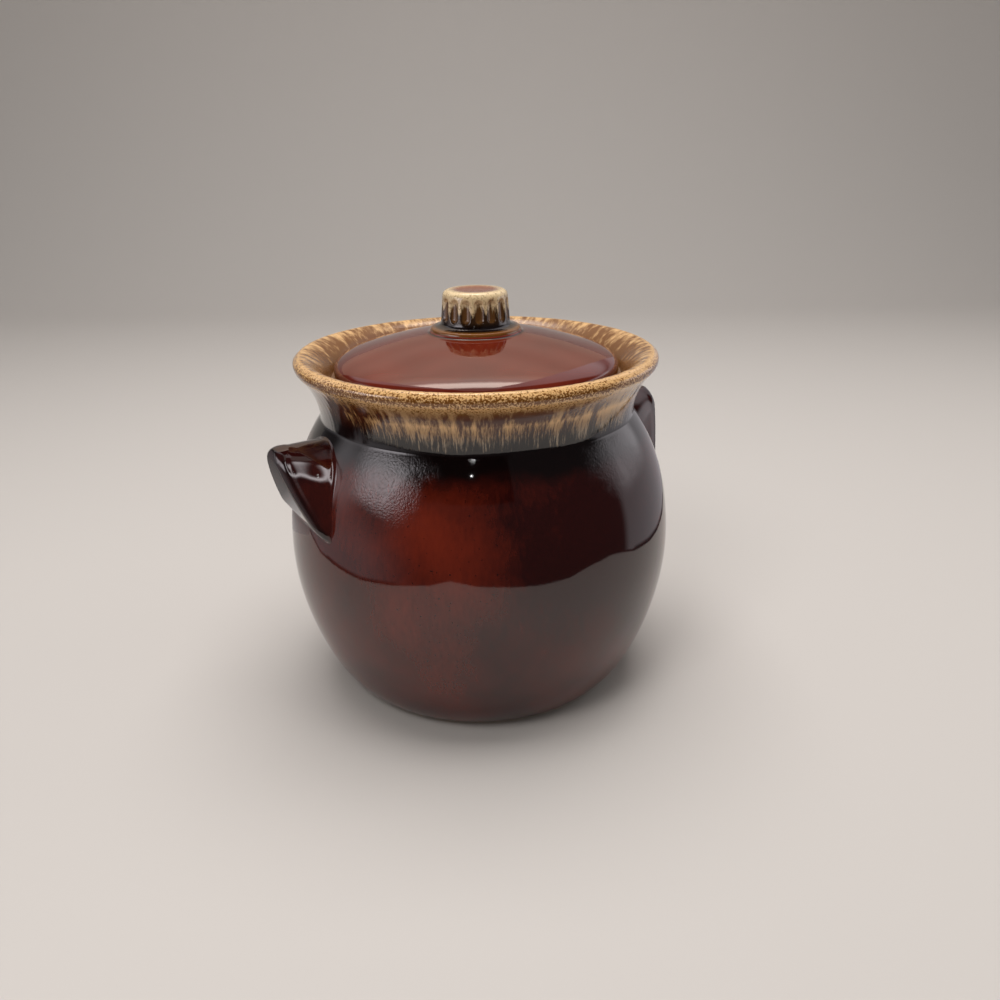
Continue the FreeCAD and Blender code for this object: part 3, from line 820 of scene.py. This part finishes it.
def knob_glaze(colours, s):
    """Knob dipped in the pale glaze, which ran down its ridges and left its flutes dark brown."""
    material, tree = empty_material("stoneware_pale_glaze_run_over_flutes")
    where = add(tree, "TexCoord", output="Object")
    height = add(tree, "SeparateXYZ", {0: where}, output="Z")
    up = add(tree, "Math", {0: height, 1: s.crown * MM}, operation="SUBTRACT")
    flow = add(tree, "Attribute", output="Vector", attribute_name="flow")
    hollow = add(tree, "Attribute", output="Fac", attribute_name="hollow")
    run = add(tree, "SeparateXYZ", {0: flow}, output="Z")
    along = add(tree, "Mapping", {"Vector": flow, "Scale": (1, 1, 0.2)})
    streak = add(tree, "TexNoise", {
        "Vector": along, "Scale": PER_MM / 1.2, "Detail": 3.0, "Roughness": 0.6})
    speck = add(tree, "TexNoise", {
        "Vector": flow, "Scale": PER_MM / 0.9, "Detail": 2.0, "Roughness": 0.6})
    # the pale dip ends about 5 mm down in the flutes and runs 3 mm further on the ridges
    reach = add(tree, "Math", {0: streak, 1: 0.012, 2: up}, operation="MULTIPLY_ADD")
    reach = add(tree, "Math", {0: hollow, 1: -0.0030, 2: reach}, operation="MULTIPLY_ADD")
    pale = add(tree, "MapRange", {
        "Value": reach, 1: s.knob_height * MM - 0.0030, 2: s.knob_height * MM - 0.0004}, **SMOOTH)
    # in each flute the brown runs from olive in the middle to black at its banks and foot; below
    # the flutes the same black goes on over the flare above its amber edge as a painted dark
    # reflection
    foot = add(tree, "MapRange", {
        "Value": up, 1: (s.flute_start - 1.0) * MM, 2: (s.flute_start + 1.8) * MM}, **SMOOTH)
    flute = add(tree, "Mix", {0: foot, 6: colours.pooled, 7: colours.olive}, 2, **RGBA)
    bank = add(tree, "MapRange", {"Value": hollow, 1: 0.10, 2: 0.70, 3: 0.7, 4: 0.0}, **SMOOTH)
    flute = add(tree, "Mix", {0: bank, 6: flute, 7: colours.pooled}, 2, **RGBA)
    base_edge = add(tree, "MapRange", {"Value": up, 1: 0.0027, 2: 0.0023}, **SMOOTH)
    lower = add(tree, "Mix", {0: base_edge, 6: flute, 7: colours.amber}, 2, **RGBA)
    freckle = add(tree, "MapRange", {"Value": speck, 1: 0.50, 2: 0.66, 3: 0.0, 4: 0.62})
    cap = add(tree, "Mix", {0: freckle, 6: colours.straw, 7: colours.amber}, 2, **RGBA)
    base = add(tree, "Mix", {0: pale, 6: lower, 7: cap}, 2, **RGBA)
    # the dish in the top holds thin red-brown glaze
    dish = add(tree, "Math", {0: speck, 1: 0.0090, 2: run}, operation="MULTIPLY_ADD")
    dish = add(tree, "MapRange", {
        "Value": dish, 1: (s.dish_radius + 7.0) * MM, 2: (s.dish_radius + 3.4) * MM, 3: 0.0,
        4: 0.92}, **SMOOTH)
    base = add(tree, "Mix", {0: dish, 6: base, 7: colours.rust}, 2, **RGBA)
    normal = add(tree, "Bump", {"Height": speck, "Strength": 0.25, "Distance": 0.0001})
    rough = add(tree, "MapRange", {"Value": hollow, 1: 0.0, 2: 0.5, 3: 0.11, 4: 0.26})
    glaze_over(tree, base, rough, normal)
    return material


# ---- operators -----------------------------------------------------------------------------------
CHANNEL_PLACE = 2.3  # the lip's channel lies this far along the run from the crest
RUN_HEIGHT = 0.035  # raised runs of pale glaze on the collar
LID_UNEVENNESS = 0.06
FLUTE_EASE = 0.16  # softness of the flutes' edges


def settle_piece(piece, material, body, node):
    """Glaze a piece and let it ride in place of its clay solid."""
    piece.data.materials.append(material)
    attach(piece, body)
    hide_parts(node)


class BEANPOT_OT_body(bpy.types.Operator):
    """Turn the pot's body with its flared, glaze-run collar"""

    bl_idname = "bean_pot.body"
    bl_label = "Pot Body"

    def execute(self, context):
        s = in_mm(context.scene.bean_pot_sizes)
        path = soften(pot_section(s), radius=0.45)
        along = arc_length(path)
        run = along[np.argmax(path[:, 1])] - along
        rows = thin_out(path, widest=1.4)

        def relief(theta, radius, height, flow):
            # slow unevenness between lip and foot, fine raised runs down the collar
            between = np.clip(flow / 4, 0, 1) * np.clip((height - 3) / 12, 0, 1)
            slow = waves(theta, height, seed=11, orders=(2, 3, 5, 8, 12), pitch=70)
            collar = np.clip((flow - 4) / 4, 0, 1) * np.clip((31 - flow) / 5, 0, 1)
            runs = waves(theta, flow, seed=23, orders=(70, 97, 120), pitch=90)
            channel = s.lip_channel * np.exp(-(flow - CHANNEL_PLACE) ** 2)
            return s.unevenness * between * slow + RUN_HEIGHT * collar * runs - channel

        piece = lathe("pot_body_glazed", path[rows], run[rows], segments=640, reference=70,
                      relief=relief)
        settle_piece(piece, pot_glaze(context.scene.bean_pot_colours), "pot",
                     "pot_body")
        return {"FINISHED"}


class BEANPOT_OT_lugs(bpy.types.Operator):
    """Carve the two hooded lugs that grow out of the shoulder"""

    bl_idname = "bean_pot.lugs"
    bl_label = "Lugs"

    def execute(self, context):
        scene = context.scene
        form = LugForm(in_mm(scene.bean_pot_sizes), in_mm(scene.bean_pot_lug_sizes))
        points, faces = carve(form, *LUG_REGION, LUG_STEP)
        material = lug_glaze(scene.bean_pot_colours)
        for side, turn in (("right", 1), ("left", -1)):
            placed = points * np.array([turn, turn, 1])
            piece = make_object("lug_" + side + "_glazed", placed, faces)
            settle_piece(piece, material, "pot", "lug_handle_" + side)
        return {"FINISHED"}


class BEANPOT_OT_lid(bpy.types.Operator):
    """Turn the domed lid with its locating flange"""

    bl_idname = "bean_pot.lid"
    bl_label = "Lid"

    def execute(self, context):
        s = in_mm(context.scene.bean_pot_lid_sizes)
        path = soften(lid_section(s), radius=0.35)
        run = arc_length(path)[-1] - arc_length(path)
        rows = thin_out(path, widest=1.4)

        def relief(theta, radius, height, flow):
            return LID_UNEVENNESS * waves(theta, radius, seed=5, orders=(1, 2, 3, 5), pitch=60)

        piece = lathe("lid_glazed", path[rows], run[rows], segments=448, reference=40,
                      relief=relief)
        settle_piece(piece, lid_glaze(context.scene.bean_pot_colours), "lid", "lid")
        return {"FINISHED"}


class BEANPOT_OT_knob(bpy.types.Operator):
    """Turn the knob and press its flutes"""

    bl_idname = "bean_pot.knob"
    bl_label = "Knob"

    def execute(self, context):
        s = in_mm(context.scene.bean_pot_lid_sizes)
        path = soften(knob_section(s), radius=0.35)
        run = arc_length(path)[-1] - arc_length(path)
        rows = thin_out(path, widest=0.35)
        pitch = TURN / s.flutes

        def flute(theta, radius, height):
            """Depth below the plain surface, from a round-ended bar laid against the knob."""
            off = ((theta + 0.5 * pitch) % pitch - 0.5 * pitch) * radius
            up = height - s.crown
            low, high = s.flute_start + s.flute_radius, s.flute_end - s.flute_radius
            beyond = np.maximum(np.maximum(low - up, up - high), 0)
            chord = np.maximum(s.flute_radius ** 2 - off ** 2 - beyond ** 2, 0)
            sag = np.sqrt(chord) - (s.flute_radius - s.flute_depth)
            eased = FLUTE_EASE * np.logaddexp(0, sag / FLUTE_EASE)
            # only on the knob's side, not in its dish or under its base
            return np.where((radius > 10) & (up > 1), eased, 0)

        def relief(theta, radius, height, flow):
            return -flute(theta, radius, height)

        piece = lathe("lid_knob_glazed", path[rows], run[rows], segments=576, reference=14,
                      relief=relief,
                      marks={"hollow": lambda *where: flute(*where) / s.flute_depth})
        settle_piece(piece, knob_glaze(context.scene.bean_pot_colours, s), "lid",
                     "lid_knob")
        return {"FINISHED"}


# ---- studio --------------------------------------------------------------------------------------
# the foot of the surround: degrees round from the camera's side, and distance in millimetres
CARD_FOOT = ((-126, 430), (-103, 345), (-91, 292), (-72, 273), (-60, 266), (-42, 285),
             (-24, 329), (-14, 400), (-2, 349), (20, 315), (31, 303), (46, 307), (58, 348),
             (73, 361), (89, 288), (103, 266), (115, 261), (129, 269), (150, 330))
# its lit parts: degrees left, right, low and high, softness in degrees, and brightness
CARD_LIGHTS = ((-112, -44, -40, 8, 34, 0.42), (-140, -108, -40, 8, 10, 0.20),
               (-80, -43, 13, 35, 9, 3.6), (-100, -68, 6, 30, 16, 0.8),
               (84, 160, -40, 26, 5, 0.50), (87, 121, 6, 27, 10, 1.3),
               (112, 160, 30, 90, 10, 0.8), (-140, -106, 30, 90, 10, 0.8))
# the ceiling behind the pot grows brighter upward, to a broad lamp at 61 to 76 degrees that the
# lugs don't see
CEILING_LIGHTS = ((90, 270, 26, 90, 10, 0.62), (90, 270, 40, 90, 10, 0.9),
                  (90, 270, 50, 58, 8, 1.4))
LID_LIGHTS = ((90, 270, 40, 90, 4, 1.6), (120, 240, 61, 76, 6, 6.4), (90, 270, 80, 90, 6, 0.4))
BACK_DISTANCE, LAMP_DISTANCE = 620.0, 600.0  # foot of the ceiling and of that lamp, in millimetres
DARK_GLOW = 0.05  # unlit part of the strip's card, and the skirting of the front card
SKIRTING_HEIGHT = 4.5  # in millimetres
# the bends of the lugs' strip light: degrees round and up
STRIP_BENDS = ((-27, 62), (-20, 46), (-18, 33), (-12, 26), (-2, 27), (8, 31), (13, 40), (13, 50),
               (9, 62))
STRIP_GLOW, STRIP_WIDTH = 5.5, 3.6  # brightness, and width in degrees
STRIP_DISTANCE, CENTRE_HEIGHT = 0.24, 0.1  # from a centre at this height, in metres
# the dim card: x and y of its two ends in metres, and its rows' height and brightness
SHADE_ENDS = (-0.134, -0.013), (-0.084, 0.014)
SHADE_ROWS = (0.060, 0.56), (0.066, 0.46), (0.074, 0.22), (0.098, 0.17)
# bare bulbs: degrees round and up from the same centre, distance and radius in metres
GLINTS = ((-2.8, 38.8, 0.2227, 0.0016), (-3.1, 32.1, 0.2258, 0.0016))
BULB_GLOW = 70.0


class BEANPOT_OT_stage(bpy.types.Operator):
    """Lay the pale floor and backdrop, hang the lamps and set the camera"""

    bl_idname = "bean_pot.stage"
    bl_label = "Stage"

    def execute(self, context):
        scene = context.scene
        # the camera looks down on the pot and is turned slightly about its line of sight
        eye = Vector((-0.1790, -0.3297, 0.22807))
        ahead = Vector((0.4628, 0.8045, -0.3724)).normalized()
        side = ahead.cross(Vector((0, 0, 1))).normalized()
        above = side.cross(ahead)
        roll = math.radians(-0.69)
        right = side * math.cos(roll) + above * math.sin(roll)
        top = above * math.cos(roll) - side * math.sin(roll)
        camera = bpy.data.objects.new("camera", bpy.data.cameras.new("camera"))
        scene.collection.objects.link(camera)
        camera.matrix_world = Matrix((
            (right.x, top.x, -ahead.x, eye.x), (right.y, top.y, -ahead.y, eye.y),
            (right.z, top.z, -ahead.z, eye.z), (0, 0, 0, 1)))
        camera.data.lens = 32.4
        camera.data.sensor_width = 36
        camera.data.clip_start = 0.01
        scene.camera = camera
        facing = Matrix.Rotation(math.atan2(-ahead.x, ahead.y), 4, "Z")
        lay_paper(scene, facing)
        stand_surround(scene, facing)
        hang_lamps(scene, facing)
        light_world(scene)
        scene.view_settings.view_transform = "Standard"
        return {"FINISHED"}


def stage_object(scene, name, points, faces, material, facing):
    """A smooth mesh that belongs to the studio and not to the pot."""
    mesh = bpy.data.meshes.new(name)
    mesh.from_pydata(points, [], faces)
    mesh.polygons.foreach_set("use_smooth", np.ones(len(mesh.polygons), bool))
    mesh.transform(facing)
    mesh.materials.append(material)
    thing = bpy.data.objects.new(name, mesh)
    scene.collection.objects.link(thing)
    return thing


def sheet_faces(rows, columns):
    """Four-sided faces between rows and columns of points."""
    return [(r * columns + c, r * columns + c + 1, (r + 1) * columns + c + 1,
             (r + 1) * columns + c) for r in range(rows - 1) for c in range(columns - 1)]


def lay_paper(scene, facing):
    """Seamless matt paper, soft and without shine: a floor that curves up behind the pot."""
    material, tree = empty_material("matt_paper")
    paper = add(tree, "BsdfPrincipled", {
        "Base Color": scene.bean_pot_colours.paper, "Roughness": 1.0, "Specular IOR Level": 0.0})
    add(tree, "OutputMaterial", {"Surface": paper})
    # in metres: the floor bends up 0.9 behind the pot, with a radius of 0.5, and leans back
    bend = [(0.9 + 0.5 * math.sin(a), 0.5 - 0.5 * math.cos(a)) for a in
            np.linspace(0, math.pi / 2, 24)]
    line = [(-1.6, 0.0), (-0.4, 0.0)] + bend + [(1.4, 2.2)]
    across = np.linspace(-2.4, 2.4, 9)
    points = [(x, y, z) for y, z in line for x in across]
    stage_object(scene, "paper_sweep", points, sheet_faces(len(line), len(across)), material,
                 facing)


def soft_box(az, el, left, right, low, high, soft):
    """1 inside a patch of the surround and 0 outside it, with edges that many degrees soft."""
    rise = [np.clip(0.5 + (az - left) / soft, 0, 1), np.clip(0.5 + (right - az) / soft, 0, 1),
            np.clip(0.5 + (el - low) / soft, 0, 1), np.clip(0.5 + (high - el) / soft, 0, 1)]
    share = rise[0] * rise[1] * rise[2] * rise[3]
    return share * share * (3 - 2 * share)


def hang_card(scene, facing, name, points, glow, tint):
    """A sheet through rows of points, in metres, that glows and that only the glaze sees."""
    material, tree = empty_material(name + "_light")
    level = add(tree, "Attribute", output="Fac", attribute_name="glow")
    shine = add(tree, "Emission", {"Color": (*tint, 1.0), "Strength": level})
    add(tree, "OutputMaterial", {"Surface": shine})
    card = stage_object(scene, name, points.reshape(-1, 3).tolist(), sheet_faces(*glow.shape),
                        material, facing)
    layer = card.data.attributes.new("glow", "FLOAT", "POINT")
    layer.data.foreach_set("value", glow.astype(np.float32).ravel())
    only_in_glaze(card)
    return card


def glow_card(scene, facing, name, az, foot, el, eye, tint, base, lights):
    """A curved card, brighter in soft patches that are placed as seen from a height.

    foot is its distance at each az and eye that height, both in millimetres.
    """
    az, el = np.asarray(az, float)[:, None], np.asarray(el, float)[None, :]
    height = foot[:, None] * np.tan(np.radians(el)) + (eye if el[0, 0] > 0 else 0)
    points = np.stack([foot[:, None] * np.sin(np.radians(az)) + 0 * el,
                       -foot[:, None] * np.cos(np.radians(az)) + 0 * el, height], -1) * MM
    seen = np.degrees(np.arctan2(height - eye, foot[:, None]))
    glow = base + 0 * seen
    for left, right, low, high, soft, level in lights:
        share = soft_box(az, seen, left, right, low, high, soft)
        glow = glow * (1 - share) + level * share
    # a dark skirting line where the front card stands on the floor
    glow = np.where((el[0, 0] == 0) & (height < SKIRTING_HEIGHT), DARK_GLOW, glow)
    return hang_card(scene, facing, name, points, glow, tint)


def towards(az, el):
    """Unit vectors towards points of the surround, from degrees round and up."""
    a, e = np.radians(az), np.radians(el)
    return np.stack([np.sin(a) * np.cos(e), -np.cos(a) * np.cos(e), np.sin(e) + 0 * a], -1)


def strip_card(scene, facing):
    """A bent strip of light in front of the near lug, which only the lugs mirror."""
    spots = towards(np.arange(-32, 21, 2.0)[:, None], np.arange(18, 71, 2.0)[None, :])
    strip = towards(*np.array(STRIP_BENDS, float).T)
    glow = np.full(spots.shape[:2], DARK_GLOW)
    for start, end in zip(strip[:-1], strip[1:]):
        along = end - start
        t = np.clip(((spots - start) @ along) / (along @ along), 0, 1)[..., None]
        off = np.degrees(np.linalg.norm(spots - start - t * along, axis=-1))
        glow = np.maximum(glow, STRIP_GLOW * np.exp(-(off / STRIP_WIDTH) ** 2))
    points = STRIP_DISTANCE * spots + np.array([0, 0, CENTRE_HEIGHT])
    for_lugs(hang_card(scene, facing, "strip_card", points, glow, (1.0, 0.94, 0.96)), "INCLUDE")


def shade_card(scene, facing):
    """A small dim card behind the near lug that darkens its outer face and fades downward."""
    points = np.array([[(x, y, z) for x, y in SHADE_ENDS] for z, _ in SHADE_ROWS])
    glow = np.array([[level] * len(SHADE_ENDS) for _, level in SHADE_ROWS])
    hang_card(scene, facing, "shade_card", points, glow, (1.0, 0.93, 0.90))


def hang_bulbs(scene, facing):
    """Small bare bulbs that the glaze mirrors as sparks."""
    for number, (turn, rise, away, size) in enumerate(GLINTS):
        a, e = math.radians(turn), math.radians(rise)
        spot = Vector((away * math.sin(a) * math.cos(e), -away * math.cos(a) * math.cos(e),
                       CENTRE_HEIGHT + away * math.sin(e)))
        ring = [tuple(spot + Matrix.Rotation(a, 3, "Z") @ Vector(
            (size * math.cos(t), 0, size * math.sin(t)))) for t in np.linspace(0, TURN, 13)[:-1]]
        material, tree = empty_material("bare_bulb_light")
        glare = add(tree, "Emission", {"Strength": BULB_GLOW})
        add(tree, "OutputMaterial", {"Surface": glare})
        only_in_glaze(stage_object(scene, f"bulb_{number}", ring, [tuple(range(len(ring)))],
                                   material, facing))


def for_lugs(thing, state):
    """Let a glowing card reach the lugs alone (INCLUDE) or all pieces but the lugs (EXCLUDE)."""
    chosen = bpy.data.collections.new(thing.name + "_receivers")
    for name in ("lug_left_glazed", "lug_right_glazed"):
        chosen.objects.link(bpy.data.objects[name])
    for member in chosen.collection_objects:
        member.light_linking.link_state = state
    thing.light_linking.receiver_collection = chosen


def stand_surround(scene, facing):
    """Everything that only the glaze sees: front card, ceiling, lid's lamp, small cards, bulbs."""
    az = np.arange(-126, 151, 2.0)
    foot = np.interp(az, *np.array(CARD_FOOT, float).T)
    glow_card(scene, facing, "front_card", az, foot,
              el=np.concatenate([[0, 0.7, 0.9], np.arange(2, 84, 2.0)]), eye=90,
              tint=(1.0, 0.94, 0.98), base=0.04, lights=CARD_LIGHTS)
    az = np.arange(100, 261, 4.0)
    glow_card(scene, facing, "back_card", az, np.full(len(az), BACK_DISTANCE),
              el=np.arange(14, 60, 2.0), eye=150, tint=(1.10, 0.88, 0.72), base=0.45,
              lights=CEILING_LIGHTS)
    az = np.arange(120, 241, 4.0)
    lamp = glow_card(scene, facing, "lid_lamp", az, np.full(len(az), LAMP_DISTANCE),
                     el=np.arange(54, 81, 1.0), eye=150, tint=(1.0, 0.86, 0.76), base=0.0,
                     lights=LID_LIGHTS)
    for_lugs(lamp, "EXCLUDE")
    strip_card(scene, facing)
    shade_card(scene, facing)
    hang_bulbs(scene, facing)


def only_in_glaze(thing):
    """Hide a thing from the camera and from diffuse light and shadow."""
    thing.visible_camera = thing.visible_diffuse = thing.visible_shadow = False


def hang_lamps(scene, facing):
    """Soft lamps: a large one overhead and two smaller ones at the sides."""
    # name, place, size and power
    lamps = (
        ("overhead", (0.0, 0.10, 1.15), 0.9, 12.3),
        ("left_front", (-0.35, -0.65, 0.85), 0.35, 2.9),
        ("right_side", (0.85, 0.20, 0.60), 0.45, 0.8),
    )
    for name, spot, size, power in lamps:
        data = bpy.data.lights.new(name, "AREA")
        data.shape = "SQUARE"
        data.size = size
        data.energy = power
        data.color = (1.0, 0.985, 0.96)
        lamp = bpy.data.objects.new(name, data)
        scene.collection.objects.link(lamp)
        spot = facing @ Vector(spot)
        aim = (Vector((0, 0, 0.08)) - spot).to_track_quat("-Z", "Y")
        lamp.matrix_world = Matrix.Translation(spot) @ aim.to_matrix().to_4x4()
        lamp.visible_glossy = False


def light_world(scene):
    """Dim even light all round; the camera and the glaze see the pale paper colour instead."""
    world = bpy.data.worlds.new("studio")
    scene.world = world
    world.use_nodes = True
    tree = world.node_tree
    tree.nodes.clear()
    camera = add(tree, "LightPath", output="Is Camera Ray")
    glossy = add(tree, "LightPath", output="Is Glossy Ray")
    through = add(tree, "LightPath", output="Is Transmission Ray")
    seen = add(tree, "Math", {0: camera, 1: glossy}, operation="MAXIMUM")
    seen = add(tree, "Math", {0: seen, 1: through}, operation="MAXIMUM")
    light = add(tree, "Background", {"Color": (1, 0.99, 0.97, 1), "Strength": 0.27})
    pale = add(tree, "Background", {"Color": (0.47, 0.43, 0.40, 1), "Strength": 1.0})
    both = add(tree, "MixShader", {0: seen, 1: light, 2: pale})
    add(tree, "OutputWorld", {"Surface": both})


class BEANPOT_PT_panel(bpy.types.Panel):
    """Sizes, colours and pieces of the bean pot"""

    bl_idname = "BEANPOT_PT_panel"
    bl_label = "Bean Pot"
    bl_space_type = "VIEW_3D"
    bl_region_type = "UI"
    bl_category = "Bean Pot"

    def draw(self, context):
        for operator in OPERATORS:
            self.layout.operator(operator.bl_idname)
        for label, group in GROUPS.items():
            box = self.layout.box()
            settings = getattr(context.scene, label)
            box.label(text=label.replace("_", " "))
            for name in group.__annotations__:
                box.prop(settings, name)


OPERATORS = (BEANPOT_OT_body, BEANPOT_OT_lugs, BEANPOT_OT_lid, BEANPOT_OT_knob, BEANPOT_OT_stage)
GROUPS = {
    "bean_pot_sizes": BeanPotSizes,
    "bean_pot_lid_sizes": BeanPotLidSizes,
    "bean_pot_lug_sizes": BeanPotLugSizes,
    "bean_pot_colours": BeanPotColours,
}


def register():
    """Add the sizes, colours, operators and panel."""
    for kind in (*GROUPS.values(), *OPERATORS, BEANPOT_PT_panel):
        bpy.utils.register_class(kind)
    for label, group in GROUPS.items():
        setattr(bpy.types.Scene, label, bpy.props.PointerProperty(type=group))


def unregister():
    """Take them out again."""
    for label in GROUPS:
        delattr(bpy.types.Scene, label)
    for kind in (BEANPOT_PT_panel, *OPERATORS[::-1], *reversed(GROUPS.values())):
        bpy.utils.unregister_class(kind)


def main():
    """Build the pot and its stage."""
    register()
    bpy.ops.bean_pot.body()
    bpy.ops.bean_pot.lugs()
    bpy.ops.bean_pot.lid()
    bpy.ops.bean_pot.knob()
    bpy.ops.bean_pot.stage()


if __name__ == "__main__":
    main()
